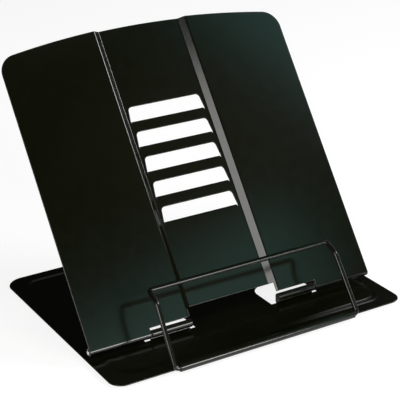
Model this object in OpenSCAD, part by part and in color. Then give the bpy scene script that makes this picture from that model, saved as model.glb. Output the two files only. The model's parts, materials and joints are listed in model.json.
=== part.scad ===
// Folding book stand: two pressings of painted sheet steel, a wire page holder and a wire support.
// Millimetres. X runs to the reader's right, Y to the rear, Z up. The stand rests on Z = 0.

/* [Sheet, wire and clearances] */
// Thickness of the sheet steel
sheet = 0.8; // [0.6:0.1:1.2]
// Diameter of the wire of the page holder and the support
wire_d = 3; // [2.2:0.1:3.6]
// Diameter of the hinge pins
pin_d = 3; // [2.2:0.1:3.6]
// Radial clearance of a wire or a pin in the curl that it turns in
turn_gap = 0.08; // [0.03:0.01:0.1]
// Space between moving pieces that lie against each other
rest_gap = 0.3; // [0.2:0.05:0.6]
// Part of a turn, in degrees, that a curl leaves open
curl_open = 60; // [40:5:80]
// Inner radius of a bend in the sheet
bend_r = 0.8; // [0.5:0.1:1.2]

/* [Base] */
// Width of the base
base_w = 200; // [190:1:260]
// Depth of the base, without its rolled front hem
base_d = 160; // [150:1:220]
// Radius of the base's front corners
base_front_r = 8.5; // [6:0.5:20]
// Radius of the base's rear corners
base_rear_r = 12; // [8:1:20]
// Width of the flat rim
rim_w = 8; // [6:0.5:12]
// Width of the sloping step inside the rim
step_w = 4; // [2:0.5:6]
// Outer corner radius of the sloping step
step_r = 12; // [8:1:20]
// Rise of the base's middle above its rim
rise = 0.6; // [0.3:0.1:1.2]

/* [Plate hinge] */
// Distance from the base's front edge back to the hinge axis
hinge_back = 36.4; // [28:0.2:44]
// Height of the hinge axes above the rim's underside
axis_h = 5.6; // [4.5:0.1:7]
// Inner end of a tongue, from the middle of the stand
tongue_in = 30.6; // [26:0.2:36]
// Width of a tongue
tongue_w = 27; // [20:0.5:32]
// Sideways space between a tongue and the plate's curl
tongue_play = 0.7; // [0.5:0.1:3]
// Length that a hinge pin stands out of the plate's curl
pin_proud = 0.6; // [0.3:0.1:1.2]
// Chamfer on the ends of pins and wires
end_chamfer = 0.4; // [0.2:0.1:0.6]
// Width of a window left and right of its tongue
window_side = 3.5; // [2:0.1:5]
// How far a window reaches forward beside its tongue
window_ahead = 1.4; // [0.5:0.1:2.5]
// Depth of a window behind its tongue
window_d = 25; // [20:0.5:27]
// Radius of a window's rear corners
window_r = 10; // [3:0.5:12]

/* [Back plate] */
// Angle of the plate from the base on the lowest tab
tilt = 54.2; // [48:0.2:58]
// Width of the plate
plate_w = 196.4; // [180:0.2:240]
// Height of the plate, from the hinge axis to the middle of its top edge
plate_h = 189.9; // [170:0.1:240]
// Radius of the arched top edge
arch_r = 555; // [300:5:900]
// Radius of the plate's top corners
corner_r = 12; // [6:1:24]
// Flat width of the recessed centre panel
centre_w = 56; // [55:0.5:58]
// Sideways run of a step wall beside the centre panel
wall_run = 4; // [2:0.2:5]
// Depth of the centre panel behind the outer panels
recess = 3.4; // [2:0.1:5]
// Height of the centre panel's lower edge above the hinge axis, along the plate
centre_low = 9.4; // [8:0.1:16]
// How far the cut below the centre panel reaches into a step wall
cut_side = 2.4; // [0.5:0.1:3]
// Height of the lower edge above the tongues, along the plate
notch_low = 3.5; // [3.2:0.1:7]

/* [Slots and tabs] */
// Number of slots, each with a tab
slot_count = 5; // [3:1:6]
// Height of the lowest slot's lower edge above the hinge axis, along the plate
slot_low = 63.1; // [58:0.1:72]
// Distance from one slot to the next
slot_pitch = 16.36; // [14:0.02:18]
// Width of a slot along its lower edge
slot_w = 52; // [40:0.5:54]
// Height of a slot, and so the length of its tab
slot_h = 9.1; // [7:0.1:11]
// How far each side of a slot leans in towards its top
slot_taper = 1.2; // [0.5:0.1:3]
// Radius of a slot's upper corners
slot_r = 2.4; // [1:0.1:3]

/* [Page holder] */
// Distance from the base's front edge forward to the hem's axis
hem_ahead = 2.2; // [1.8:0.1:4]
// Width of the page holder between the middles of its legs, at the hem
holder_w = 125.8; // [100:0.2:150]
// How far each leg leans in towards its top
holder_taper = 1.5; // [0:0.1:4]
// Length of a leg, from the hem's axis to the knee
holder_leg = 38.5; // [28:0.5:50]
// Length of the bent-back tip, from the knee to the top bar
holder_tip = 10.3; // [9:0.1:16]
// Angle of the legs from the base
holder_lean = 55.5; // [48:0.5:60]
// Angle by which the tip is bent back
holder_bend = 32.5; // [10:0.5:40]
// Bend radius of the wire's corners, to the wire's middle
wire_bend_r = 2.2; // [2:0.2:5]
// Bend radius of the knee, to the wire's middle
knee_r = 6; // [4:0.5:10]
// Length of a wire's foot inside its curl
holder_foot = 36; // [20:1:45]
// Sideways space between a curl and the wire's bend beside it
end_play = 0.3; // [0.3:0.1:1.5]

/* [Support bail] */
// Distance from the plate's hinge axis back to the bail's axis
bail_back = 74.6; // [70:0.1:84]
// Width of the bail between the middles of its legs
bail_w = 75; // [70:1:90]
// Width of the tongue that holds a foot of the bail
bail_tongue_w = 11; // [8:0.5:14]
// Length that a foot of the bail stands out of its tongue
bail_foot_proud = 1.5; // [0.5:0.5:3]
// Depth of the window behind a bail tongue
bail_window_d = 15; // [14:0.5:18]
// Radius of that window's rear corners
bail_window_r = 3; // [1:0.5:5]

/* [Feet] */
// Diameter of a rubber foot
foot_d = 11; // [8:0.5:14]
// Height of a foot below the rim's underside
foot_h = 1.5; // [1:0.1:3]
// Distance of a foot's middle from the base's edges
foot_inset = 23; // [19:0.5:30]
// Chamfer round a foot's lower edge
foot_chamfer = 0.6; // [0.2:0.1:0.8]

/* [Hidden] */
$fn = 64;
bend_steps = 5;
step_lap = 1;
bend_slack = 0.01;
bend_lap = 2;
paint = "#141618";
bare_steel = "#b9bcc0";
rubber = "#26262a";

// Radii of the curls, outside and inside
pin_bore = pin_d / 2 + turn_gap;
pin_curl = pin_bore + sheet;
wire_bore = wire_d / 2 + turn_gap;
wire_curl = wire_bore + sheet;

// Places in the side view. The base is set back by half of what the hem adds in front.
base_y = (hem_ahead + wire_curl) / 2;
base_front = base_y - base_d / 2;
base_z = foot_h;
middle_z = base_z + rise;
axis_z = base_z + axis_h;
hinge_y = base_front + hinge_back;
hem_y = base_front - hem_ahead;
hem_z = base_z + wire_curl;
bail_y = hinge_y + bail_back;

// Sideways places
curl_in = tongue_in + tongue_w + tongue_play;
tongue_mid = tongue_in + tongue_w / 2;
holder_splay = atan2(holder_taper, holder_leg + holder_tip);
holder_reach = holder_w / 2 - wire_bend_r * tan(45 + holder_splay / 2);
hem_len = 2 * (holder_reach - end_play);
bail_reach = bail_w / 2 - wire_bend_r;
bail_tongue_mid = bail_reach - end_play - bail_tongue_w / 2;
bail_foot = end_play + bail_tongue_w + bail_foot_proud;

// Outer bends of the step walls, the wall's angle to the panels, and the sides of the cut below the centre
wall_out = centre_w / 2 + wall_run;
wall_angle = atan2(recess, wall_run);
cut_out = centre_w / 2 + cut_side;

// Middle of the arch, and of the top corners' arcs, measured along the plate from the hinge axis
arch_mid = plate_h - arch_r;
corner_x = plate_w / 2 - corner_r;
corner_y = arch_mid + sqrt(pow(arch_r - corner_r, 2) - pow(corner_x, 2));
corner_meet = corner_x * arch_r / (arch_r - corner_r);

// The bail's bar lies under the lowest tab, behind the centre panel
bar_along = slot_low - sheet - rest_gap - wire_d / 2;
bar_behind = recess + sheet + rest_gap + wire_d / 2 - pin_curl;
bar_y = bar_along * cos(tilt) + bar_behind * sin(tilt);
bar_z = bar_along * sin(tilt) - bar_behind * cos(tilt);
bail_len = norm([bail_back - bar_y, bar_z]);
bail_lean = atan2(bar_z, bar_y - bail_back);

// Points of a rounded corner at p, entered in direction dir and turned by turn degrees
function corner(p, dir, turn, r) =
  let (side = turn > 0 ? 1 : -1,
       back = r * tan(abs(turn) / 2),
       mid = p + [-back * cos(dir) - side * r * sin(dir), -back * sin(dir) + side * r * cos(dir)])
  [for (i = [0:bend_steps])
    let (a = dir - side * 90 + turn * i / bend_steps)
    mid + r * [cos(a), sin(a)]];

// One face of the plate in cross-section, from left to right, at the given depth.
// The bends lie further out by shift, and are rounded by the outer and inner radius.
function plate_face(depth, shift, r_out, r_in) = concat(
  [[-plate_w / 2, -depth]],
  corner([-wall_out - shift, -depth], 0, -wall_angle, r_out),
  corner([-centre_w / 2 - shift, -depth - recess], -wall_angle, wall_angle, r_in),
  corner([centre_w / 2 + shift, -depth - recess], 0, wall_angle, r_in),
  corner([wall_out + shift, -depth], wall_angle, -wall_angle, r_out),
  [[plate_w / 2, -depth]]);

function reversed(list) = [for (i = [len(list) - 1:-1:0]) list[i]];

// Rectangle about the origin with rounded corners
module rounded_rect(w, d, r) {
  square([w - 2 * r, d], center = true);
  square([w, d - 2 * r], center = true);
  for (x = [-1, 1], y = [-1, 1])
    translate([x * (w / 2 - r), y * (d / 2 - r)]) circle(r = r);
}

// Carries a profile drawn in Y and Z along X, about the middle
module across(w) {
  rotate([90, 0, 90]) linear_extrude(w, center = true) children();
}

// Curled sheet edge about the origin: the strap leaves at the bottom, along the first axis
module curl_profile(bore, strap) {
  outer = bore + sheet;
  reach = 2 * outer;
  difference() {
    circle(r = outer);
    circle(r = bore);
    polygon([
      [0, 0], [0, -reach], [reach * tan(curl_open / 2), -reach],
      reach * [sin(curl_open), -cos(curl_open)]
    ]);
  }
  translate([0, -outer]) square([strap, sheet]);
}

// Tongue bent up out of the base behind the axis, and curled forward over it
module tongue(w, bore) {
  across(w) mirror([1, 1]) curl_profile(bore, axis_z - middle_z);
}

// Window that a tongue is cut from: rounded at the rear, with a notch on either side of the bend
module window(w, d, r) {
  translate([-w / 2, 0]) square([w, d - r]);
  translate([-w / 2 + r, 0]) square([w - 2 * r, d]);
  for (x = [0, 1]) mirror([x, 0]) {
    translate([w / 2 - r, d - r]) circle(r = r);
    translate([w / 2 - window_side, -window_ahead]) square([window_side, 2 * window_ahead]);
  }
}

// Cross-section of the sloping step, from its outer edge inwards. It laps over the rim and the middle.
module step_profile() {
  polygon([
    [step_lap, 0], [0, 0], [-step_w, rise], [-step_w - step_lap, rise],
    [-step_w - step_lap, rise + sheet], [-step_w, rise + sheet], [0, sheet], [step_lap, sheet]
  ]);
}

// Sloping step between the rim and the raised middle: four runs and four corners
module sloping_step() {
  w = base_w - 2 * rim_w;
  d = base_d - 2 * rim_w;
  for (side = [0, 180]) {
    rotate(side) translate([w / 2, 0]) rotate([90, 0, 0])
      linear_extrude(d - 2 * step_r, center = true) step_profile();
    rotate(side + 90) translate([d / 2, 0]) rotate([90, 0, 0])
      linear_extrude(w - 2 * step_r, center = true) step_profile();
  }
  for (x = [-1, 1], y = [-1, 1])
    translate([x * (w / 2 - step_r), y * (d / 2 - step_r), 0])
      rotate(x > 0 ? (y > 0 ? 0 : 270) : (y > 0 ? 90 : 180))
        rotate_extrude(angle = 90) translate([step_r, 0]) step_profile();
}

// Outline of the base about its own middle, with other corners in front than at the rear
module base_outline() {
  straight = base_d - base_front_r - base_rear_r;
  translate([-base_w / 2, base_front_r - base_d / 2]) square([base_w, straight]);
  for (end = [[-1, base_front_r], [1, base_rear_r]]) {
    r = end[1];
    translate([0, end[0] * base_d / 4]) square([base_w - 2 * r, base_d / 2], center = true);
    for (x = [-1, 1]) translate([x * (base_w / 2 - r), end[0] * (base_d / 2 - r)]) circle(r = r);
  }
}

// Rim, step and raised middle of the base, about its own middle
module base_pan() {
  in_w = base_w - 2 * rim_w;
  in_d = base_d - 2 * rim_w;
  linear_extrude(sheet) difference() {
    base_outline();
    rounded_rect(in_w, in_d, step_r);
  }
  sloping_step();
  translate([0, 0, rise]) linear_extrude(sheet)
    rounded_rect(in_w - 2 * step_w, in_d - 2 * step_w, step_r - step_w);
}

module base_plate() {
  color(paint) {
    difference() {
      translate([0, base_y, base_z]) base_pan();
      for (x = [-1, 1]) {
        translate([x * tongue_mid, hinge_y + pin_curl, middle_z - sheet])
          linear_extrude(3 * sheet) window(tongue_w + 2 * window_side, window_d, window_r);
        translate([x * bail_tongue_mid, bail_y + wire_curl, middle_z - sheet])
          linear_extrude(3 * sheet)
            window(bail_tongue_w + 2 * window_side, bail_window_d, bail_window_r);
      }
    }
    for (x = [-1, 1]) {
      translate([x * tongue_mid, hinge_y, axis_z]) tongue(tongue_w, pin_bore);
      translate([x * bail_tongue_mid, bail_y, axis_z]) tongue(bail_tongue_w, wire_bore);
    }
    translate([0, hem_y, hem_z]) across(hem_len) curl_profile(wire_bore, hem_ahead + rim_w / 2);
  }
}

// Outline of the plate seen from the front: arched top, round corners, stepped lower edge
module plate_outline() {
  difference() {
    union() {
      intersection() {
        translate([0, arch_mid]) circle(r = arch_r, $fn = 360);
        translate([-corner_meet, 0]) square([2 * corner_meet, plate_h]);
      }
      translate([-plate_w / 2, 0]) square([plate_w, corner_y]);
      for (x = [-1, 1]) translate([x * corner_x, corner_y]) circle(r = corner_r);
    }
    translate([-curl_in, -notch_low]) square([2 * curl_in, 2 * notch_low]);
    translate([-cut_out, -centre_low]) square([2 * cut_out, 2 * centre_low]);
  }
}

// Plate's cross-section: outer panels, step walls and centre panel
module plate_section() {
  shift = sheet * tan(wall_angle / 2);
  polygon(concat(
    plate_face(0, 0, bend_r + sheet, bend_r),
    reversed(plate_face(sheet, shift, bend_r, bend_r + sheet))));
}

// Slot with its lower edge on the first axis
module slot() {
  lean = atan2(slot_h, -slot_taper);
  top = slot_w / 2 - slot_taper;
  polygon(concat(
    [[-slot_w / 2, 0], [slot_w / 2, 0]],
    corner([top, slot_h], lean, 180 - lean, slot_r),
    corner([-top, slot_h], 180, 180 - lean, slot_r)));
}

module back_plate() {
  face_z = pin_curl - recess;
  color(paint) translate([0, hinge_y, axis_z]) rotate([tilt, 0, 0]) {
    difference() {
      intersection() {
        translate([0, plate_h, pin_curl]) rotate([90, 0, 0]) linear_extrude(plate_h) plate_section();
        translate([0, 0, face_z - 2 * sheet]) linear_extrude(recess + 3 * sheet) plate_outline();
      }
      for (i = [0:slot_count - 1])
        translate([0, slot_low + i * slot_pitch, face_z - 2 * sheet]) linear_extrude(3 * sheet) slot();
    }
    for (i = [0:slot_count - 1])
      translate([0, slot_low + i * slot_pitch - sheet, face_z]) rotate([-90, 0, 0])
        linear_extrude(sheet) slot();
    for (x = [-1, 1])
      translate([x * (curl_in + plate_w / 2) / 2, 0, 0])
        across(plate_w / 2 - curl_in) mirror([0, 1]) curl_profile(pin_bore, notch_low);
  }
}

// Straight rod along X from x0 to x1. Its first end is chamfered, and its last end by c.
module rod(x0, x1, d, c) {
  r = d / 2;
  translate([x0, 0, 0]) rotate([0, 90, 0]) rotate_extrude() polygon([
    [0, 0], [r - end_chamfer, 0], [r, end_chamfer], [r, x1 - x0 - c], [r - c, x1 - x0], [0, x1 - x0]
  ]);
}

module hinge_pin() {
  translate([0, hinge_y, axis_z]) rod(tongue_in, plate_w / 2 + pin_proud, pin_d, end_chamfer);
}

module hinge_pin_left() {
  color(bare_steel) mirror([1, 0, 0]) hinge_pin();
}

module hinge_pin_right() {
  color(bare_steel) hinge_pin();
}

// Bend of a wire about Z, starting on the first axis.
// It is a hair thinner than the straight wire, and reaches bend_lap degrees into it at both ends.
module wire_bend(r, angle) {
  rotate(-bend_lap) rotate_extrude(angle = angle + 2 * bend_lap)
    translate([r, 0]) circle(d = wire_d - 2 * bend_slack);
}

// Direction from p to q, and the length that a bend at b takes from the straights beside it
function way(p, q) = (q - p) / norm(q - p);
function bend_back(a, b, c, r) = r * tan(acos(way(a, b) * way(b, c)) / 2);

// Bend at b of a wire that comes from a and goes on to c
module bend_at(a, b, c, r) {
  u = way(a, b);
  turn = acos(u * way(b, c));
  side = (way(b, c) - cos(turn) * u) / sin(turn);
  up = cross(u, side);
  mid = b - bend_back(a, b, c, r) * u + r * side;
  multmatrix([
    [-side.x, u.x, up.x, mid.x],
    [-side.y, u.y, up.y, mid.y],
    [-side.z, u.z, up.z, mid.z],
    [0, 0, 0, 1]
  ]) wire_bend(r, turn);
}

// Straight wire from a to b, less the lengths that the bends at its ends take
module wire_run(a, b, back_a, back_b) {
  u = way(a, b);
  translate(a + back_a * u) rotate([0, acos(u.z), atan2(u.y, u.x)])
    cylinder(h = norm(b - a) - back_a - back_b, d = wire_d);
}

// Wire alike left and right of the middle: a foot along X, a leg through the corners, and a bar
module wire_loop(corners, radii, foot) {
  last = len(corners) - 1;
  top = corners[last];
  line = concat([[0, 0, 0]], corners, [[0, top.y, top.z]]);
  backs = [for (i = [0:last]) bend_back(line[i], line[i + 1], line[i + 2], radii[i])];
  reach = corners[0].x - backs[0];
  bar = top.x - backs[last];
  for (x = [0, 1]) mirror([x, 0, 0]) {
    rod(reach - foot, reach, wire_d, 0);
    for (i = [0:last]) bend_at(line[i], line[i + 1], line[i + 2], radii[i]);
    for (i = [1:last]) wire_run(corners[i - 1], corners[i], backs[i - 1], backs[i]);
  }
  translate([-bar, top.y, top.z]) rotate([0, 90, 0]) cylinder(h = 2 * bar, d = wire_d);
}

module page_holder() {
  half = holder_w / 2;
  knee = [half - holder_leg * tan(holder_splay), holder_leg, 0];
  tip = [half - holder_taper, holder_leg + holder_tip * cos(holder_bend), -holder_tip * sin(holder_bend)];
  color(paint) translate([0, hem_y, hem_z]) rotate([holder_lean, 0, 0])
    wire_loop([[half, 0, 0], knee, tip], [wire_bend_r, knee_r, wire_bend_r], holder_foot);
}

module support_bail() {
  half = bail_w / 2;
  color(paint) translate([0, bail_y, axis_z]) rotate([bail_lean, 0, 0])
    wire_loop([[half, 0, 0], [half, bail_len, 0]], [wire_bend_r, wire_bend_r], bail_foot);
}

// Rubber pad under the raised middle, near one corner of the base
module foot(x, y) {
  r = foot_d / 2;
  color(rubber)
    translate([x * (base_w / 2 - foot_inset), base_y + y * (base_d / 2 - foot_inset), 0])
      rotate_extrude() polygon([
        [0, 0], [r - foot_chamfer, 0], [r, foot_chamfer], [r, middle_z], [0, middle_z]
      ]);
}

module foot_front_left() { foot(-1, -1); }
module foot_front_right() { foot(1, -1); }
module foot_rear_left() { foot(-1, 1); }
module foot_rear_right() { foot(1, 1); }

base_plate();
back_plate();
hinge_pin_left();
hinge_pin_right();
page_holder();
support_bail();
foot_front_left();
foot_front_right();
foot_rear_left();
foot_rear_right();
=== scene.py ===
"""Painted sheets, wires, pins and pads of a folding book stand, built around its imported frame."""
import json
import math

import bpy
import numpy as np
from bpy.props import FloatProperty, FloatVectorProperty, IntProperty, PointerProperty
from mathutils import Matrix, Vector


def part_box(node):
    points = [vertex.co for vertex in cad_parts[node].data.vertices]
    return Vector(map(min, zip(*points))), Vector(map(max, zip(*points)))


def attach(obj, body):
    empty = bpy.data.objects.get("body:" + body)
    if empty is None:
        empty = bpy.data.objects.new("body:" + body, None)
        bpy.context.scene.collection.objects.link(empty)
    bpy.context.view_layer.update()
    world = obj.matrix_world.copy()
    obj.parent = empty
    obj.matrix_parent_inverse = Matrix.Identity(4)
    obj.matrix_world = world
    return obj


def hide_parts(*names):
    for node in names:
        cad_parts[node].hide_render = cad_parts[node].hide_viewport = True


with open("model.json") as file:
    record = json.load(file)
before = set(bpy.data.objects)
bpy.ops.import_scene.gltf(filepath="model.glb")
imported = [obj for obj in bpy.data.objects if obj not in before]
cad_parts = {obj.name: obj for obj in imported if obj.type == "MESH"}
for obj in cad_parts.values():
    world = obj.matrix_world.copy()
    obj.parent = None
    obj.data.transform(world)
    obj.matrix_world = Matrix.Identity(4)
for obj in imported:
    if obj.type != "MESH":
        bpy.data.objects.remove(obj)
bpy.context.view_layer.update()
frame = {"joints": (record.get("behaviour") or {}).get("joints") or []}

bl_info = {
    "name": "Folding book stand",
    "version": (1, 0, 0),
    "blender": (4, 5, 0),
    "location": "3D View > Sidebar > Book stand",
    "description": "Builds the painted sheets, wires, pins, pads and studio of a folding book stand",
    "category": "Object",
}

AXES = {joint["name"]: np.array(joint["pos_m"]) for joint in frame["joints"]}
WELD = 1e-7

# Steps of arcs, curls and rims, and sides of round forms
ARC_STEPS = 8
CURL_STEPS = 40
RIM_STEPS = 3
CORNER_STEPS = 12
PLATE_CORNER_STEPS = 14
COVE_STEPS = 12
WIRE_SIDES = 32
PAD_SIDES = 48
FLOOR_SIDES = 96

# Base: rows over an edge and between the windows, columns of a half, and places of columns along the hem
EDGE_ROWS = 36
FRONT_ROWS = 6
MIDDLE_ROWS = 10
REAR_ROWS = 4
BASE_COLUMNS = (8, 3, 8, 3, 3, 5, 24)
HEM_SHARES = (0.4, 0.55, 0.85, 1)
FINE_SHARE = 0.86

# Plate: rows of its parts, columns of a half's slot, and columns from a step wall to the top corner
NOTCH_ROWS = 2
LOWER_ROWS = 8
SLOT_ROWS = 3
GAP_ROWS = 2
TOP_ROWS = 12
SLOT_COLUMNS = (12, 1, 2)
PANEL_COLUMNS = (8, 8)

# Finishes: waves of orange peel per metre, spread of the gloss, and shades against the main colour
SHEET_PEEL = 1500
WIRE_PEEL = 2200
GLOSS_SPREAD = 0.012
ENAMEL_IOR = 1.5
DARK_STEEL = 0.55
PALE_RUBBER = 1.8

# Pads: share of the radius that the flat core takes, and half width of the groove against its depth
PAD_CORE = 1 / 8
GROOVE_SHAPE = 2

# Stage: floor's inner radius and its drop below the stand, what the lamps face, world's colour, and sensor
FLOOR_START = 0.02
FLOOR_DROP = 0.00005
LAMP_TARGET = (0, 0, 0.06)
WORLD_COLOUR = (0.012, 0.013, 0.012, 1)
SENSOR_WIDTH = 36


def length(name, description, default):
    """A length that the user can set, in metres."""
    return FloatProperty(name=name, description=description, default=default, precision=5, unit="LENGTH")


def angle(name, description, degrees):
    """An angle that the user can set, given here in degrees."""
    return FloatProperty(name=name, description=description, default=math.radians(degrees), subtype="ANGLE")


def share(name, description, default):
    """A number from 0 to 1 that the user can set."""
    return FloatProperty(
        name=name, description=description, default=default, subtype="FACTOR", min=0, max=1
    )


def colour(name, description, default):
    """A colour that the user can set."""
    return FloatVectorProperty(
        name=name, description=description, default=default, subtype="COLOR", size=3, min=0, max=1
    )


class BookStandSheet(bpy.types.PropertyGroup):
    """Sizes that the base and the plate share"""

    thickness: length("Thickness", "Thickness of the sheet steel", 0.0008)
    bend_radius: length("Bend radius", "Inner radius of a bend in the sheet", 0.0008)
    edge_round: length("Edge rounding", "Radius of the paint over a cut edge", 0.00036)
    bore: length("Curl bore", "Inner radius of a curled edge", 0.00158)
    curl_open: angle("Curl opening", "Part of a turn that a curl leaves open", 60)


class BookStandBase(bpy.types.PropertyGroup):
    """Sizes of the base"""

    depth: length("Depth", "Depth of the base without its rolled hem", 0.16)
    front_radius: length("Front radius", "Radius of the base's front corners", 0.0085)
    rear_radius: length("Rear radius", "Radius of the base's rear corners", 0.012)
    rim_width: length("Rim width", "Width of the flat rim", 0.008)
    step_width: length("Step width", "Width of the sloping step inside the rim", 0.004)
    step_radius: length("Step radius", "Outer corner radius of the sloping step", 0.012)
    step_soft: length("Step softness", "Half of the width over which the step's bends turn", 0.0007)
    rise: length("Rise", "Rise of the base's middle above its rim", 0.0006)
    hem_half: length("Hem half width", "Half of the length of the rolled front hem", 0.06033)
    tongue_inner: length("Tongue start", "Inner end of a hinge tongue, from the middle", 0.0306)
    tongue_outer: length("Tongue end", "Outer end of a hinge tongue, from the middle", 0.0576)
    bail_inner: length("Bail tongue start", "Inner end of a bail tongue, from the middle", 0.024)
    bail_outer: length("Bail tongue end", "Outer end of a bail tongue, from the middle", 0.035)
    window_side: length("Window side", "Width of a window left and right of its tongue", 0.0035)
    window_ahead: length("Window notch", "How far a window reaches forward beside its tongue", 0.0014)
    window_depth: length("Window depth", "Depth of the window behind a hinge tongue", 0.025)
    bail_window_depth: length("Bail window depth", "Depth of the window behind a bail tongue", 0.015)
    window_radius: length("Window radius", "Radius of a window's rear corners", 0.01)
    bail_window_radius: length("Bail window radius", "Radius of that window's rear corners", 0.003)


class BookStandPlate(bpy.types.PropertyGroup):
    """Sizes of the back plate"""

    tilt: angle("Tilt", "Angle of the plate from the base", 54.2)
    height: length("Height", "Height from the hinge axis to the middle of the top edge", 0.1899)
    arch_radius: length("Arch radius", "Radius of the arched top edge", 0.555)
    corner_radius: length("Corner radius", "Radius of the top corners", 0.012)
    centre_width: length("Centre width", "Width of the recessed centre panel", 0.056)
    wall_run: length("Wall run", "Sideways run of a step wall", 0.004)
    recess: length("Recess", "Depth of the centre panel behind the outer panels", 0.0034)
    centre_low: length("Centre edge", "Height of the centre panel's lower edge above the axis", 0.0094)
    centre_cut: length("Centre cut", "Half width of the cut below the centre panel", 0.0304)
    notch_low: length("Notch edge", "Height of the lower edge above the tongues", 0.0035)
    curl_inner: length("Curl start", "Inner end of a curled lower edge, from the middle", 0.0583)
    slot_count: IntProperty(name="Slots", description="Number of slots", default=5, min=1, max=6)
    slot_low: length("Lowest slot", "Height of the lowest slot above the axis", 0.0631)
    slot_pitch: length("Slot pitch", "Distance from one slot to the next", 0.01636)
    slot_width: length("Slot width", "Width of a slot along its lower edge", 0.052)
    slot_height: length("Slot height", "Height of a slot and length of its tab", 0.0091)
    slot_taper: length("Slot taper", "How far each side of a slot leans in", 0.0012)
    slot_radius: length("Slot radius", "Radius of a slot's upper corners", 0.0024)
    slit: length("Slit", "Cut between a slot's side and its tab", 0.0003)


class BookStandWire(bpy.types.PropertyGroup):
    """Sizes of the page holder, the support bail and the pins"""

    diameter: length("Diameter", "Diameter of the wire and the pins", 0.003)
    bend_radius: length("Bend radius", "Radius of a corner, to the wire's middle", 0.0022)
    knee_radius: length("Knee radius", "Radius of the page holder's knee, to the wire's middle", 0.006)
    end_round: length("End rounding", "Radius round the cut end of a wire or a pin", 0.0004)
    holder_half: length("Holder half width", "From the middle to the page holder's leg at the hem", 0.0629)
    holder_taper: length("Holder taper", "How far each leg of the page holder leans in at its top", 0.0015)
    leg: length("Leg", "Length of the page holder's leg from the hem to the knee", 0.0385)
    lean: angle("Lean", "Angle of the page holder's legs from the base", 55.5)
    holder_foot: length("Holder foot", "Length of the page holder's wire inside the hem", 0.036)
    bail_foot: length("Bail foot", "Length of the bail's wire inside its tongue", 0.0128)


class BookStandFoot(bpy.types.PropertyGroup):
    """Sizes of the rubber pads"""

    edge_round: length("Edge rounding", "Radius round a pad's lower edge", 0.0006)
    groove: length("Groove", "Depth of the ring groove under a pad", 0.0003)


class BookStandFinish(bpy.types.PropertyGroup):
    """Colours and finishes"""

    paint: colour("Paint", "Colour of the enamel", (0.0034, 0.0040, 0.0007))
    paint_warm: colour("Paint shade", "Second shade of the enamel", (0.0037, 0.0042, 0.0010))
    paint_edge: colour("Paint edge", "Thin enamel over a cut edge", (0.030, 0.030, 0.027))
    steel: colour("Steel", "Bare steel of the pins", (0.62, 0.63, 0.65))
    rubber: colour("Rubber", "Rubber of the pads", (0.02, 0.02, 0.021))
    gloss: share("Paint roughness", "Roughness of the enamel", 0.155)
    base_gloss: share("Base roughness", "Roughness of the base's enamel", 0.165)
    bare_start: length("Bare start", "Distance from the middle at which the pins' overspray ends", 0.0984)
    bare_end: length("Bare end", "Distance from the middle at which the pins are quite bare", 0.0986)


class BookStandStage(bpy.types.PropertyGroup):
    """Camera, floor and light"""

    camera_place: FloatVectorProperty(
        name="Camera", description="Place of the camera", size=3, subtype="TRANSLATION", unit="LENGTH",
        default=(-0.36469, -0.64456, 0.36888),
    )
    camera_yaw: angle("Yaw", "Turn of the camera to the left", -29.585)
    camera_pitch: angle("Pitch", "Rise of the camera's aim", -22.327)
    camera_roll: angle("Roll", "Roll of the camera", 1.6345)
    lens: FloatProperty(
        name="Lens", description="Focal length on a 36 mm sensor", default=117.32, unit="CAMERA"
    )
    floor: colour("Floor", "Colour of the floor and the wall", (0.3, 0.3, 0.3))
    floor_glow: share("Floor glow", "How white the floor shows apart from its light", 0.84)
    # Painted shade: the floor and wall darken from the first to the second distance below, as a falloff of
    # light
    floor_far: share("Far floor", "How much of its brightness the floor keeps far away", 0.08)
    fade_start: length("Fade start", "Distance from the stand at which the floor begins to darken", 1.1)
    fade_end: length("Fade end", "Distance from the stand at which the floor is darkest", 2.3)
    floor_radius: length("Floor radius", "Radius of the floor", 3.6)
    wall_height: length("Wall height", "Height of the wall round the floor", 0.9)
    cove_radius: length("Cove radius", "Radius between the floor and the wall", 0.4)


class BookStandSettings(bpy.types.PropertyGroup):
    """All settings of the book stand"""

    sheet: PointerProperty(type=BookStandSheet)
    base: PointerProperty(type=BookStandBase)
    plate: PointerProperty(type=BookStandPlate)
    wire: PointerProperty(type=BookStandWire)
    foot: PointerProperty(type=BookStandFoot)
    finish: PointerProperty(type=BookStandFinish)
    stage: PointerProperty(type=BookStandStage)


def unit(vectors):
    """Vectors of length one, along the last axis."""
    return vectors / np.linalg.norm(vectors, axis=-1, keepdims=True)


def corner_arcs(points, radii, steps=ARC_STEPS):
    """A line of straights with every inner corner rounded.

    An arc leaves its straight radius * tan(turn / 2) before the corner, and moves radius * sin(a) along
    the straight and radius * (1 - cos(a)) across it, for a from 0 to the turn.
    """
    points = np.asarray(points, float)
    radii = np.asarray(radii, float)[:, None]
    along = unit(np.diff(points, axis=0))
    before, after = along[:-1], along[1:]
    cosine = np.sum(before * after, axis=1, keepdims=True)
    turn = np.arccos(np.clip(cosine, -1, 1))
    across = unit(after - cosine * before)
    start = points[1:-1] - before * radii * np.tan(turn / 2)
    sweep = turn * np.linspace(0, 1, steps + 1)
    forward = (radii * np.sin(sweep))[:, :, None] * before[:, None, :]
    sideways = (radii * (1 - np.cos(sweep)))[:, :, None] * across[:, None, :]
    arcs = (start[:, None, :] + forward + sideways).reshape(-1, points.shape[1])
    return np.concatenate((points[:1], arcs, points[-1:]))


def circle_arc(centre, radius, first, last, steps):
    """Points at centre + radius * (cos a, sin a), for a from first to last in degrees."""
    a = np.radians(np.linspace(first, last, steps + 1))
    return np.column_stack((centre[0] + radius * np.cos(a), centre[1] + radius * np.sin(a)))


def fill_columns(knots, counts):
    """Columns between knots: each gap of a row of knots is cut into its count of equal steps."""
    parts = [
        knots[:, [gap]] + (knots[:, [gap + 1]] - knots[:, [gap]]) * np.arange(count) / count
        for gap, count in enumerate(counts)
    ]
    return np.concatenate((*parts, knots[:, -1:]), axis=1)


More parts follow.
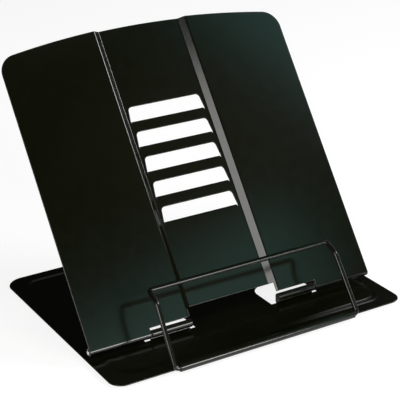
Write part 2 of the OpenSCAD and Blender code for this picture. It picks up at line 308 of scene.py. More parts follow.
def mirrored(right):
    """Rows of a right half, from the middle outwards, with the left half put before them."""
    return np.concatenate((-right[:, :0:-1], right), axis=1)


def both_sides(count, first, last):
    """Marks the cells of a mirrored row that lie from column first to column last of either half."""
    half = np.zeros(count, bool)
    half[first:last] = True
    return np.concatenate((half[::-1], half))


def grid_cells(rows, columns):
    """Corner numbers of each cell of a grid whose points are stored row by row."""
    index = np.arange(rows * columns).reshape(rows, columns)
    return np.stack((index[:-1, :-1], index[:-1, 1:], index[1:, 1:], index[1:, :-1]), axis=-1)


def grid_patch(points, keep=None):
    """Points and cells of a grid of points, with only the cells to keep."""
    cells = grid_cells(*points.shape[:2])
    cells = cells.reshape(-1, 4) if keep is None else cells[keep]
    return points.reshape(-1, 3), cells


def weld(patches):
    """Joins patches into one surface: points in one place become one, and unused points go."""
    starts = np.cumsum([0] + [len(patch[0]) for patch in patches])
    points = np.concatenate([patch[0] for patch in patches])
    cells = np.concatenate([patch[1] + start for patch, start in zip(patches, starts)])
    keys = np.round(points / WELD).astype(np.int64)
    first, number = np.unique(keys, axis=0, return_index=True, return_inverse=True)[1:]
    cells = number.reshape(-1)[cells]
    used, cells = np.unique(cells, return_inverse=True)
    return points[first][used], cells.reshape(-1, 4)


def surface_normals(points, cells):
    """Normal at each point: the sum of the crossed diagonals of the cells that meet there."""
    one, two, three, four = (points[cells[:, k]] for k in range(4))
    crossed = np.cross(three - one, four - two)
    total = np.zeros_like(points)
    for k in range(4):
        np.add.at(total, cells[:, k], crossed)
    return unit(total)


def thicken(surface, sheet):
    """Closed sheet: the surface, its copy one thickness behind it, and a rounded rim on each free edge.

    A rim goes out by r * sin(a) and down by r * (1 - cos(a)), for a from 0 to 90 degrees, and comes
    back in the same way on the rear side. At a corner it reaches out along the mitre of its two edges.
    """
    points, cells = surface
    count = len(points)
    normals = surface_normals(points, cells)
    edges = np.concatenate([cells[:, [k, (k + 1) % 4]] for k in range(4)])
    first, times = np.unique(np.sort(edges, axis=1), axis=0, return_index=True, return_counts=True)[1:]
    free = edges[first[times == 1]]
    along = unit(points[free[:, 1]] - points[free[:, 0]])
    outward = np.cross(along, unit(normals[free[:, 0]] + normals[free[:, 1]]))
    total = np.zeros_like(points)
    np.add.at(total, free[:, 0], outward)
    np.add.at(total, free[:, 1], outward)
    rim = np.unique(free)
    reach = 2 * total[rim] / np.sum(total[rim] ** 2, axis=1, keepdims=True)

    a = np.linspace(0, math.pi / 2, RIM_STEPS + 1)[1:]
    quarter_out = sheet.edge_round * np.sin(a)
    quarter_down = sheet.edge_round * (1 - np.cos(a))
    out = np.concatenate((quarter_out, quarter_out[::-1]))[None, :, None]
    down = np.concatenate((quarter_down, sheet.thickness - quarter_down[::-1]))[None, :, None]
    lean = np.concatenate((np.cos(a), -np.cos(a[::-1])))[None, :, None]
    spread = np.concatenate((np.sin(a), np.sin(a[::-1])))[None, :, None]
    rim_normals = normals[rim][:, None, :]
    rim_points = points[rim][:, None, :] + out * reach[:, None, :] - down * rim_normals
    rim_normals = unit(spread * unit(reach)[:, None, :] + lean * rim_normals)

    row = np.zeros(count, int)
    row[rim] = np.arange(len(rim))
    steps = 2 * RIM_STEPS
    ladder = 2 * count + np.arange(len(rim) * steps).reshape(len(rim), steps)
    ladder = np.column_stack((rim, ladder, rim + count))
    one, two = ladder[row[free[:, 0]]], ladder[row[free[:, 1]]]
    rim_cells = np.stack((two[:, :-1], one[:, :-1], one[:, 1:], two[:, 1:]), axis=-1).reshape(-1, 4)

    all_points = np.concatenate((points, points - sheet.thickness * normals, rim_points.reshape(-1, 3)))
    all_normals = np.concatenate((normals, -normals, rim_normals.reshape(-1, 3)))
    all_cells = np.concatenate((cells, cells[:, ::-1] + count, rim_cells))
    edge = np.zeros(len(all_points))
    edge[2 * count:] = 1
    return all_points, all_cells, all_normals, edge


def smooth_corner(t, soft):
    """The larger of t and 0, with the corner turned into a parabola from -soft to soft."""
    return np.where(np.abs(t) < soft, (t + soft) ** 2 / (4 * soft), np.maximum(t, 0))


def inside_distance(x, y, half_w, half_d, radius):
    """How far a point lies inside a rectangle with rounded corners."""
    over_x = np.abs(x) - (half_w - radius)
    over_y = np.abs(y) - (half_d - radius)
    beyond = np.hypot(np.maximum(over_x, 0), np.maximum(over_y, 0))
    return radius - beyond - np.minimum(np.maximum(over_x, over_y), 0)


def round_reach(x, half_w, half_d, radius, edge):
    """Depth from the middle to the outline at each x: straight, and then along a corner's circle."""
    drawn_in = radius - edge
    over = np.clip((np.abs(x) - (half_w - radius)) / drawn_in, 0, 1)
    return half_d - drawn_in + drawn_in * np.sqrt(1 - over ** 2)


def window_rows(base, sheet, axis_y, tongue, depth, radius):
    """Rows of y and of four sideways places at a window: its sides, and between them its tongue's edges.

    The first row is the front of the notches beside the tongue, the second the tongue's bend, and the last
    rows follow the quarter circles of the rear corners, with the tongue's places drawn in alike.
    """
    edge = sheet.edge_round
    inner, outer = tongue
    bend = axis_y + sheet.bore - sheet.bend_radius
    front = axis_y + sheet.bore + sheet.thickness
    turn_y = front + depth - radius
    low, high = inner - base.window_side, outer + base.window_side
    straight_y = np.array([front - base.window_ahead - edge, bend, front, (front + turn_y) / 2])
    a = np.linspace(0, math.pi / 2, 2 * ARC_STEPS + 1)
    y = np.concatenate((straight_y, turn_y + (radius + edge) * np.sin(a)))
    inset = np.concatenate((np.full(len(straight_y), -edge), radius - (radius + edge) * np.cos(a)))
    sides = np.column_stack((low + inset, high - inset))
    tongue_share = (np.array([inner, outer]) + [edge, -edge] - sides[0, 0]) / (sides[0, 1] - sides[0, 0])
    tongue_x = sides[:, [0]] + (sides[:, [1]] - sides[:, [0]]) * tongue_share
    return np.column_stack((y, sides[:, 0], tongue_x, sides[:, 1]))


def rows_from(first, last, count):
    """Rows that lead from one row to the next, without the last one."""
    return first + (last - first) * np.arange(count)[:, None] / count


def tongue_patch(x, axis, sheet, start_z):
    """Tongue: a quarter bend up from the base, a straight, and a curl forward over the axis.

    The profile in y and z is carried along the given places in x.
    """
    centre_y = axis[1] + sheet.bore - sheet.bend_radius
    bend = circle_arc((centre_y, start_z + sheet.bend_radius), sheet.bend_radius, -90, 0, ARC_STEPS)
    turn = 360 - math.degrees(sheet.curl_open)
    curl = circle_arc(axis[1:], sheet.bore, 0, turn, CURL_STEPS)
    profile = np.concatenate((bend, curl))
    rows, columns = len(profile), len(x)
    y_z = np.broadcast_to(profile[:, None, :], (rows, columns, 2))
    return grid_patch(np.dstack((np.broadcast_to(x, (rows, columns)), y_z)))


def base_surface(base, sheet):
    """Upper face of the base as a grid over x and y, with a rolled hem in front and four tongues.

    The height rises over the step by a ramp of the distance inside the step's outline. The columns
    follow the windows' sides, and near the ends they shrink in y to follow the corners' circles.
    """
    low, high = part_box("base_plate")
    edge = sheet.edge_round
    hem, hinge, bail = AXES["holder_hinge"], AXES["plate_hinge"], AXES["bail_hinge"]
    mid_y = high.y - base.depth / 2
    half_d = base.depth / 2 - edge
    half_w = high.x - edge
    rim_top = low.z + sheet.thickness

    tongue = (base.tongue_inner, base.tongue_outer)
    bail_tongue = (base.bail_inner, base.bail_outer)
    front_rows = window_rows(base, sheet, hinge[1], tongue, base.window_depth, base.window_radius)
    bail_rows = window_rows(
        base, sheet, bail[1], bail_tongue, base.bail_window_depth, base.bail_window_radius
    )
    margin = base.rim_width + 2 * base.step_width
    hem_end = base.hem_half - edge
    hem_row = np.array([mid_y - half_d, *(hem_end * part for part in HEM_SHARES)])
    front_row = hem_row + [margin, 0, 0, 0, 0]
    rear_row = np.array([mid_y + half_d - margin, *bail_rows[-1, 1:]])
    last_row = rear_row + [margin, 0, 0, 0, 0]
    before_front = (
        rows_from(hem_row, front_row, EDGE_ROWS), rows_from(front_row, front_rows[0], FRONT_ROWS)
    )
    before_bail = (front_rows[:-1], rows_from(front_rows[-1], bail_rows[0], MIDDLE_ROWS))
    after_bail = (bail_rows[:-1], rows_from(bail_rows[-1], rear_row, REAR_ROWS))
    at_rear = (rows_from(rear_row, last_row, EDGE_ROWS), last_row[None])
    places = np.concatenate((*before_front, *before_bail, *after_bail, *at_rear))
    y = places[:, [0]]
    ones = np.ones_like(y)

    rear_start = high.x - base.rear_radius
    fine_start = rear_start - base.step_width
    fine_end = rear_start + 2 * base.rear_radius / 3
    fixed = np.array([0, fine_start * FINE_SHARE, fine_start, fine_end])
    knots = np.concatenate((fixed[0] * ones, places[:, 1:], fixed[1:] * ones), axis=1)
    rear_r = base.rear_radius - edge
    first_angle = math.asin((fine_end - rear_start) / rear_r)
    corner_angles = np.linspace(first_angle, math.pi / 2, CORNER_STEPS + 1)[1:]
    corner_x = rear_start + rear_r * np.sin(corner_angles)
    right = np.concatenate((fill_columns(knots, BASE_COLUMNS), corner_x * ones), axis=1)
    x = mirrored(right)
    side_in, tongue_in, tongue_out, side_out = np.cumsum(BASE_COLUMNS)[:4]

    front_reach = round_reach(x, high.x, half_d, base.front_radius, edge)
    rear_reach = round_reach(x, high.x, half_d, base.rear_radius, edge)
    y = mid_y + (y - mid_y) * np.where(y < mid_y, front_reach, rear_reach) / half_d
    step_half_w = high.x - base.rim_width
    step_half_d = base.depth / 2 - base.rim_width
    inside = inside_distance(x, y - mid_y, step_half_w, step_half_d, base.step_radius)
    ramp = smooth_corner(inside, base.step_soft) - smooth_corner(inside - base.step_width, base.step_soft)
    pan = np.dstack((x, y, rim_top + base.rise * ramp / base.step_width))

    turn = 360 - math.degrees(sheet.curl_open)
    curl = circle_arc(hem[1:], sheet.bore, -90 - turn, -90, CURL_STEPS)
    curl_rows = np.broadcast_to(curl[:, None, :], (len(curl), x.shape[1], 2))
    roll = np.dstack((np.broadcast_to(x[0], curl_rows.shape[:2]), curl_rows))

    cells_half = right.shape[1] - 1
    keep = np.ones((len(roll) + len(pan) - 1, 2 * cells_half), bool)
    keep[:len(roll)] = both_sides(cells_half, 0, side_out)
    front_start = sum(len(part) for part in before_front)
    bail_start = front_start + sum(len(part) for part in before_bail)
    patches = []
    for start, rows, axis in ((front_start, front_rows, hinge), (bail_start, bail_rows, bail)):
        first = len(roll) + start
        keep[first] &= ~both_sides(cells_half, side_in, tongue_in)
        keep[first] &= ~both_sides(cells_half, tongue_out, side_out)
        keep[first + 1:first + len(rows) - 1] &= ~both_sides(cells_half, side_in, side_out)
        bend_x = right[start + 1, tongue_in:tongue_out + 1]
        for place in (bend_x, -bend_x[::-1]):
            patches.append(tongue_patch(place, axis, sheet, rim_top + base.rise))
    return weld([grid_patch(np.concatenate((roll, pan)), keep), *patches])


def slot_outline(plate, grow):
    """Half width of a slot's side at each height above its lower edge, with the outline grown outwards.

    The side leans in straight up to the corner, and then follows the corner's circle to the top edge.
    """
    lean = math.atan2(plate.slot_taper, plate.slot_height)
    corner_run = plate.slot_radius * math.tan((math.pi / 2 - lean) / 2)
    turn_x = plate.slot_width / 2 - plate.slot_taper - corner_run
    turn_up = plate.slot_height - plate.slot_radius
    radius = plate.slot_radius + grow
    a = np.linspace(lean, math.pi / 2, ARC_STEPS + 1)
    arc = np.column_stack((turn_up + radius * np.sin(a), turn_x + radius * np.cos(a)))
    bottom = np.array([0, plate.slot_width / 2 + grow / math.cos(lean)])
    return np.concatenate((rows_from(bottom, arc[0], SLOT_ROWS), arc))


def plate_surface(plate, sheet):
    """Front face of the plate as a grid over x and the height s along the plate, with its tabs.

    Each column has the depth of the pressed section at its x. The rows below the hinge axis wind round
    it as the curl, and the rows above the slots stretch up to the arch and the corners' circles.
    """
    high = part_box("back_plate")[1]
    edge = sheet.edge_round
    curl_r = sheet.bore + sheet.thickness
    bend_out = sheet.bend_radius + sheet.thickness
    face = curl_r - plate.recess
    axis = AXES["plate_hinge"]
    along = np.array([0, math.cos(plate.tilt), math.sin(plate.tilt)])
    front = np.array([0, -math.sin(plate.tilt), math.cos(plate.tilt)])

    def placed(x, s, d):
        """Points at x, s along the plate and d in front of the hinge axis."""
        x, s, d = np.broadcast_arrays(x, s, d)
        return axis + x[..., None] * [1, 0, 0] + s[..., None] * along + d[..., None] * front

    arch_r = plate.arch_radius - edge
    arch_mid = plate.height - plate.arch_radius
    corner_r = plate.corner_radius - edge
    corner_x = high.x - plate.corner_radius
    to_corner = plate.arch_radius - plate.corner_radius
    corner_s = arch_mid + math.sqrt(to_corner ** 2 - corner_x ** 2)
    meet = corner_x * arch_r / to_corner

    wall_out = plate.centre_width / 2 + plate.wall_run
    section = corner_arcs(
        [(0, face), (plate.centre_width / 2, face), (wall_out, curl_r), (high.x, curl_r)],
        (sheet.bend_radius, bend_out),
    )[1:-1]
    cut = plate.centre_cut + edge
    cut_place = np.searchsorted(section[:, 0], cut)
    section = np.insert(section, cut_place, (cut, np.interp(cut, section[:, 0], section[:, 1])), axis=0)
    first_angle = math.asin((meet - corner_x) / corner_r)
    corner_angles = np.linspace(first_angle, math.pi / 2, PLATE_CORNER_STEPS + 1)[1:]
    corner_columns = corner_x + corner_r * np.sin(corner_angles)
    outer_knots = np.array([[section[-1, 0], plate.curl_inner + edge, meet]])
    panel_columns = fill_columns(outer_knots, PANEL_COLUMNS)[0]
    outer = np.concatenate((section[:-1, 0], panel_columns, corner_columns))

    void = slot_outline(plate, edge)
    lower = void[0, 1]
    upper = void[-1, 1]
    slots = plate.slot_low + plate.slot_pitch * np.arange(plate.slot_count)
    bend_rows = slots - bend_out
    below = np.array([0, plate.notch_low / 2, plate.notch_low + edge, plate.centre_low + edge])
    plain = np.column_stack((below, np.full(len(below), lower)))
    parts = [plain[:-1], rows_from(plain[-1], np.array([bend_rows[0], lower]), LOWER_ROWS)]
    for number, slot in enumerate(slots):
        parts.append([[bend_rows[number], lower]])
        parts.append(void + [slot, 0])
        if number + 1 < len(slots):
            top = np.array([slot + void[-1, 0], upper])
            parts.append(rows_from(top, np.array([bend_rows[number + 1], lower]), GAP_ROWS)[1:])
    rows = np.concatenate(parts)
    s, half = rows[:, [0]], rows[:, [1]]
    top_share = np.linspace(0, 1, TOP_ROWS + 1)[1:, None]
    half = np.concatenate((half, np.full_like(top_share, upper)))
    slit = plate.slit + 2 * edge
    knots = np.concatenate((0 * half, half - slit, half, np.full_like(half, outer[0])), axis=1)
    slot_columns = fill_columns(knots, SLOT_COLUMNS)[:, :-1]
    right = np.concatenate((slot_columns, np.repeat(outer[None], len(half), 0)), axis=1)
    x = mirrored(right)

    across = np.minimum(np.abs(x[-1]), high.x - edge)
    over = np.clip((across - corner_x) / corner_r, 0, 1)
    top = np.where(across < meet, arch_mid + np.sqrt(arch_r ** 2 - across ** 2),
                   corner_s + corner_r * np.sqrt(1 - over ** 2))
    s_full = np.concatenate((np.broadcast_to(s, (len(s), x.shape[1])), s[-1] + top_share * (top - s[-1])))
    depth = np.interp(np.abs(x), section[:, 0], section[:, 1])
    panel = placed(x, s_full, depth)
    turn = 360 - math.degrees(sheet.curl_open)
    curl = circle_arc((0, 0), curl_r, turn, 0, CURL_STEPS)[:-1]
    roll = placed(x[[0]], -curl[:, [1]], curl[:, [0]])

    cells_half = right.shape[1] - 1
    keep = np.ones((len(roll) + len(panel) - 1, 2 * cells_half), bool)
    section_column = sum(SLOT_COLUMNS)
    curl_column = section_column + len(section) - 1 + PANEL_COLUMNS[0]
    keep[:len(roll) + NOTCH_ROWS] = both_sides(cells_half, curl_column, cells_half)
    keep[len(roll) + NOTCH_ROWS] = both_sides(cells_half, section_column + cut_place, cells_half)
    tab = slot_outline(plate, -edge)
    tab_rows = tab[tab[:, 0] > bend_out]
    fraction = np.linspace(-1, 1, 2 * SLOT_COLUMNS[0] + 1)
    quarter = np.linspace(0, math.pi / 2, ARC_STEPS + 1)[:, None]
    patches = []
    for number, slot in enumerate(slots):
        start = len(roll) + len(parts[0]) + len(parts[1])
        start += number * (len(void) + GAP_ROWS)
        keep[start:start + len(void)] &= ~both_sides(cells_half, 0, SLOT_COLUMNS[0] + 1)
        tab_half = lower - slit
        bend_s = bend_rows[number] + bend_out * np.sin(quarter)
        bend_d = face - bend_out + bend_out * np.cos(quarter)
        flat_half = tab_half + tab_rows[:, [1]] - tab[0, 1]
        tab_x = np.concatenate((np.full_like(quarter, tab_half), flat_half)) * fraction
        tab_s = np.concatenate((bend_s, np.full_like(flat_half, slot)))
        tab_d = np.concatenate((bend_d, face - tab_rows[:, [0]]))
        patches.append(grid_patch(placed(tab_x, tab_s, tab_d)))
    patches.insert(0, grid_patch(np.concatenate((roll, panel)), keep))
    return weld(patches)


def tube(path, radius, facing, end_round):
    """Wire: a circle carried along the path, drawn in at both ends over a quarter circle.

    The circle stands square to the path, and its first point lies on the side of facing.
    """
    a = np.linspace(0, math.pi / 2, RIM_STEPS + 2)
    inward = end_round * (1 - np.cos(a))
    drawn_in = radius - end_round + end_round * np.sin(a)
    start, end = unit(path[1] - path[0]), unit(path[-2] - path[-1])
    first_end = path[0] + inward[:, None] * start
    last_end = path[-1] + inward[::-1, None] * end
    path = np.concatenate((first_end, path[1:-1], last_end))
    radii = np.concatenate((drawn_in, np.full(len(path) - 2 * len(a), radius), drawn_in[::-1]))
    step = unit(np.diff(path, axis=0))
    tangent = unit(np.concatenate((step[:1], step[:-1] + step[1:], step[-1:])))
    up = unit(facing - (tangent @ facing)[:, None] * tangent)
    side = np.cross(tangent, up)
    turn = 2 * math.pi * np.arange(WIRE_SIDES) / WIRE_SIDES
    ring = np.cos(turn)[:, None] * up[:, None, :] + np.sin(turn)[:, None] * side[:, None, :]
    return closed_rings(path[:, None, :] + radii[:, None, None] * ring)


def closed_rings(rings):
    """Points and faces of rings joined in a row, with the first and the last ring filled."""
    count, sides = rings.shape[:2]
    index = np.arange(count * sides).reshape(count, sides)
    after = np.roll(index, -1, axis=1)
    cells = np.stack((index[:-1], after[:-1], after[1:], index[1:]), axis=-1).reshape(-1, 4)
    return rings.reshape(-1, 3), [*cells.tolist(), index[0, ::-1].tolist(), index[-1].tolist()]


def turned(profile, centre, sides):
    """Turned form: a profile of radius and height carried round the vertical through the centre."""
    turn = 2 * math.pi * np.arange(sides) / sides
    circle = np.column_stack((np.cos(turn), np.sin(turn), np.zeros(sides)))
    rings = profile[:, :1, None] * circle + profile[:, 1:, None] * np.array([0, 0, 1.0])
    return closed_rings(rings + np.asarray(centre))


def wire_loop(foot, corners, radii):
    """Path of a bent wire: two feet, two legs through the corners, and a bar.

    The right half runs from its foot's end to the bar, and the left half mirrors it. The foot starts its
    own length and the first bend's share, radius * tan(turn / 2), inside the first corner.
    """
    heel, leg = corners[0], unit(corners[1] - corners[0])
    start = heel - [foot + radii[0] * math.tan(math.acos(leg[0]) / 2), 0, 0]
    right = np.array([start, *corners])
    left = right[::-1] * [-1, 1, 1]
    return corner_arcs(np.concatenate((right, left)), (*radii, *radii[::-1]))


def feed(tree, socket, value):
    """Links a socket to the input, or sets the input to a plain value."""
    if isinstance(value, bpy.types.NodeSocket):
        tree.links.new(value, socket)
    else:
        socket.default_value = value


def new_material(name):
    """A material with an empty tree, its shader, and a function that adds nodes to the tree."""
    material = bpy.data.materials.new(name)
    material.use_nodes = True
    tree = material.node_tree
    tree.nodes.clear()
    output = tree.nodes.new("ShaderNodeOutputMaterial")

    def add(kind, settings=(), **inputs):
        """Adds a node, sets its settings, and sets or links its inputs by name."""
        made = tree.nodes.new("ShaderNode" + kind)
        for key, value in dict(settings).items():
            setattr(made, key, value)
        for key, value in inputs.items():
            feed(tree, made.inputs[key.replace("_", " ")], value)
        return made

    return material, output, tree, add


def noise(add, place, scale, detail, roughness=0.5):
    """Noise on the piece's own coordinates, with scale in waves per metre."""
    return add("TexNoise", Vector=place, Scale=scale, Detail=detail, Roughness=roughness).outputs["Fac"]


def span(add, value, low, high, to_low, to_high):
    """Carries the range low to high over to another range."""
    made = add("MapRange", Value=value, From_Min=low, From_Max=high, To_Min=to_low, To_Max=to_high)
    return made.outputs["Result"]


def mix(add, factor, first, second):
    """Mixes two colours, each a colour or a socket."""
    made = add("Mix", {"data_type": "RGBA"})
    for socket, value in ((made.inputs[0], factor), (made.inputs[6], first), (made.inputs[7], second)):
        feed(made.id_data, socket, value)
    return made.outputs[2]


def combine(add, operation, *values, clamp=False):
    """Result of a sum, a product or another operation on one or two values."""
    made = add("Math", {"operation": operation, "use_clamp": clamp})
    for socket, value in zip(made.inputs, values):
        feed(made.id_data, socket, value)
    return made.outputs[0]


def black_enamel(finish, name, peel, roughness):
    """Stove enamel: near black, with a slight cloud in its shade, orange peel, and thin paint on edges."""
    material, output, tree, add = new_material(name)
    place = add("TexCoord").outputs["Object"]
    cloud = span(add, noise(add, place, scale=38, detail=3), low=0.35, high=0.65, to_low=0, to_high=1)
    shade = mix(add, cloud, (*finish.paint, 1), (*finish.paint_warm, 1))
    edge = add("Attribute", {"attribute_name": "edge"}).outputs["Fac"]
    worn = span(add, noise(add, place, scale=420, detail=2), low=0.4, high=0.62, to_low=0.25, to_high=1)
    thin = combine(add, "MULTIPLY", edge, worn)
    colour_out = mix(add, thin, shade, (*finish.paint_edge, 1))
    dull = noise(add, place, scale=160, detail=3)
    gloss = span(
        add, dull, low=0.3, high=0.7, to_low=roughness - GLOSS_SPREAD, to_high=roughness + GLOSS_SPREAD
    )
    peel_height = noise(add, place, scale=peel, detail=2, roughness=0.4)
    bump = add("Bump", Height=peel_height, Strength=0.12, Distance=0.00004)
    shader = add("BsdfPrincipled", Base_Color=colour_out, Roughness=gloss, Normal=bump.outputs["Normal"])
    shader.inputs["IOR"].default_value = ENAMEL_IOR
    tree.links.new(shader.outputs[0], output.inputs["Surface"])
    return material


def drawn_steel(finish, name):
    """Drawn steel: fine lines along the pin and darker patches, under enamel except at the outer end."""
    material, output, tree, add = new_material(name)
    place = add("TexCoord").outputs["Object"]
    stretched = add("Mapping", Vector=place, Scale=(40, 3000, 3000)).outputs["Vector"]
    lines = noise(add, stretched, scale=1, detail=3)
    patch = span(add, noise(add, place, scale=220, detail=3), low=0.35, high=0.7, to_low=0, to_high=0.6)
    dark = tuple(DARK_STEEL * part for part in finish.steel)
    steel = mix(add, patch, (*finish.steel, 1), (*dark, 1))
    across = combine(add, "ABSOLUTE", add("SeparateXYZ", Vector=place).outputs["X"])
    bare = span(add, across, finish.bare_start, finish.bare_end, to_low=0, to_high=1)
    colour_out = mix(add, bare, (*finish.paint, 1), steel)
    gloss = span(add, lines, low=0.3, high=0.7, to_low=0.22, to_high=0.42)
    bump = add("Bump", Height=lines, Strength=0.15, Distance=0.00002)
    shader = add("BsdfPrincipled", Base_Color=colour_out, Metallic=bare, Roughness=gloss,
                 Normal=bump.outputs["Normal"])
    tree.links.new(shader.outputs[0], output.inputs["Surface"])
    return material


def moulded_rubber(finish, name):
    """Matt moulded rubber: a fine grain and a greyish bloom."""
    material, output, tree, add = new_material(name)
    place = add("TexCoord").outputs["Object"]
    bloom = span(add, noise(add, place, scale=300, detail=4), low=0.4, high=0.7, to_low=0, to_high=1)
    pale = tuple(PALE_RUBBER * part for part in finish.rubber)
    colour_out = mix(add, bloom, (*finish.rubber, 1), (*pale, 1))
    grain = noise(add, place, scale=5200, detail=2)
    gloss = span(add, grain, low=0.3, high=0.7, to_low=0.6, to_high=0.8)
    bump = add("Bump", Height=grain, Strength=0.3, Distance=0.00004)
    shader = add("BsdfPrincipled", Base_Color=colour_out, Roughness=gloss, Normal=bump.outputs["Normal"])
    tree.links.new(shader.outputs[0], output.inputs["Surface"])
    return material


def add_mesh(name, points, faces, material):
    """A smooth object at the origin with these points and faces."""
    mesh = bpy.data.meshes.new(name)
    faces = faces.tolist() if isinstance(faces, np.ndarray) else faces
    mesh.from_pydata(points.tolist(), [], faces)
    mesh.polygons.foreach_set("use_smooth", np.ones(len(mesh.polygons), bool))
    mesh.materials.append(material)
    made = bpy.data.objects.new(name, mesh)
    bpy.context.scene.collection.objects.link(made)
    return made


def add_sheet(name, surface, sheet, material):
    """A closed sheet with its own normals, so that its flats stay flat beside the rounded edges."""
    points, cells, normals, edge = thicken(surface, sheet)
    made = add_mesh(name, points, cells, material)
    made.data.attributes.new("edge", "FLOAT", "POINT").data.foreach_set("value", edge)
    made.data.normals_split_custom_set_from_vertices(normals)
    return made


def join_frame(piece, body, node):
    """The piece rides on a body and stands for a node, whose imported part is hidden."""
    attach(piece, body)
    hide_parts(node)


class BuildBase(bpy.types.Operator):
    """Press the base: rim, step, rolled hem, windows and tongues"""

    bl_idname = "bookstand.build_base"
    bl_label = "Base"

    def execute(self, context):
        """Makes the base's sheet."""
        settings = context.scene.book_stand
        material = black_enamel(settings.finish, "base_enamel", SHEET_PEEL, settings.finish.base_gloss)
        surface = base_surface(settings.base, settings.sheet)
        piece = add_sheet("base_sheet", surface, settings.sheet, material)
        join_frame(piece, "base", "base_plate")
        return {"FINISHED"}


class BuildPlate(bpy.types.Operator):
    """Press the back plate: panels, step walls, slots, tabs and curled lower edges"""

    bl_idname = "bookstand.build_plate"
    bl_label = "Back plate"

    def execute(self, context):
        """Makes the plate's sheet."""
        settings = context.scene.book_stand
        material = black_enamel(settings.finish, "plate_enamel", SHEET_PEEL, settings.finish.gloss)
        surface = plate_surface(settings.plate, settings.sheet)
        piece = add_sheet("plate_sheet", surface, settings.sheet, material)
        join_frame(piece, "plate", "back_plate")
        return {"FINISHED"}


class BuildPageHolder(bpy.types.Operator):
    """Bend the page holder's wire"""

    bl_idname = "bookstand.build_page_holder"
    bl_label = "Page holder"

    def execute(self, context):
        """Makes the page holder from its hem axis, its knee and its bar."""
        settings = context.scene.book_stand
        wire = settings.wire
        radius = wire.diameter / 2
        heel = AXES["holder_hinge"] + [wire.holder_half, 0, 0]
        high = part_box("page_holder")[1]
        bar = np.array([wire.holder_half - wire.holder_taper, high.y - radius, high.z - radius])
        leg = wire.leg * np.array([0, math.cos(wire.lean), math.sin(wire.lean)])
        tip = np.linalg.norm((bar - heel - leg)[1:])
        knee = heel + leg - [wire.holder_taper * wire.leg / (wire.leg + tip), 0, 0]
        radii = (wire.bend_radius, wire.knee_radius, wire.bend_radius)
        path = wire_loop(wire.holder_foot, (heel, knee, bar), radii)
        facing = np.array([0, -math.sin(wire.lean), math.cos(wire.lean)])
        material = black_enamel(settings.finish, "holder_enamel", WIRE_PEEL, settings.finish.gloss)
        piece = add_mesh("page_wire", *tube(path, radius, facing, wire.end_round), material)
        join_frame(piece, "holder", "page_holder")
        return {"FINISHED"}


class BuildSupportBail(bpy.types.Operator):
    """Bend the support bail's wire"""

    bl_idname = "bookstand.build_support_bail"
    bl_label = "Support bail"

    def execute(self, context):
        """Makes the bail from its axis and its bar."""
        settings = context.scene.book_stand
        wire = settings.wire
        radius = wire.diameter / 2
        low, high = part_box("support_bail")
        heel = AXES["bail_hinge"] + [high.x - radius, 0, 0]
        bar = np.array([high.x - radius, low.y + radius, high.z - radius])
        path = wire_loop(wire.bail_foot, (heel, bar), (wire.bend_radius, wire.bend_radius))
        facing = np.cross([1, 0, 0], unit(bar - heel))
        material = black_enamel(settings.finish, "bail_enamel", WIRE_PEEL, settings.finish.gloss)
        piece = add_mesh("bail_wire", *tube(path, radius, facing, wire.end_round), material)
        join_frame(piece, "bail", "support_bail")
        return {"FINISHED"}


class BuildPins(bpy.types.Operator):
    """Cut the two hinge pins"""

    bl_idname = "bookstand.build_pins"
    bl_label = "Hinge pins"

    def execute(self, context):
        """Makes a pin along the axis for each of the two nodes."""
        settings = context.scene.book_stand
        wire = settings.wire
        material = drawn_steel(settings.finish, "pin_steel")
        axis = AXES["plate_hinge"]
        for side in ("left", "right"):
            low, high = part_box("hinge_pin_" + side)
            path = np.array([[low.x, *axis[1:]], [high.x, *axis[1:]]])
            shape = tube(path, wire.diameter / 2, np.array([0, 0, 1.0]), wire.end_round)
            join_frame(add_mesh("pin_" + side, *shape, material), "base", "hinge_pin_" + side)
        return {"FINISHED"}


class BuildFeet(bpy.types.Operator):
    """Mould the four rubber pads"""

    bl_idname = "bookstand.build_feet"
    bl_label = "Feet"

    def execute(self, context):
        """Makes a turned pad with a ring groove underneath for each of the four nodes."""
        settings = context.scene.book_stand
        foot = settings.foot
        material = moulded_rubber(settings.finish, "pad_rubber")
        for row in ("front", "rear"):
            for side in ("left", "right"):
                node = f"foot_{row}_{side}"
                low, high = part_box(node)
                radius = (high.x - low.x) / 2
                core = radius * PAD_CORE
                ring = circle_arc((radius / 2, 0), foot.groove * GROOVE_SHAPE, 180, 0, ARC_STEPS)
                ring[:, 1] /= GROOVE_SHAPE
                turn = (radius - foot.edge_round, foot.edge_round)
                lower = circle_arc(turn, foot.edge_round, -90, 0, ARC_STEPS)
                upper = [[radius, high.z], [core, high.z]]
                profile = np.concatenate(([[core, 0]], ring, lower, upper))
                centre = ((low.x + high.x) / 2, (low.y + high.y) / 2, 0)
                shape = turned(profile, centre, PAD_SIDES)
                piece = add_mesh("pad_" + row + "_" + side, *shape, material)
                join_frame(piece, "base", node)
        return {"FINISHED"}


# Lamps: name, degrees to the right of the front, degrees up, distance, width, height, watts and colour
LAMPS = (
    ("left_box", -64, 25.5, 1.25, 0.67, 0.56, 6.0, (1.0, 0.99, 0.96)),
    ("front_box", 16.5, 17, 1.6, 0.7, 0.58, 15.0, (1.0, 1.0, 0.97)),
    ("front_glow", 30, 34, 1.6, 0.52, 0.2, 0.23, (0.45, 1.0, 0.9)),
    ("middle_glow", 41, 43, 1.6, 0.4, 0.34, 0.03, (1.0, 0.8, 0.62)),
    ("right_glow", 61, 44, 1.5, 0.42, 0.5, 0.4, (0.25, 1.0, 0.97)),
    ("right_box", 72.5, 35.5, 1.4, 0.37, 0.39, 8.1, (1.0, 1.0, 1.0)),
    ("rear_box", 133.5, 33.5, 1.5, 0.07, 0.14, 0.11, (1.0, 1.0, 1.0)),
    ("top_box", 0, 86, 1.6, 1.6, 1.6, 1.2, (1.0, 1.0, 0.98)),
)


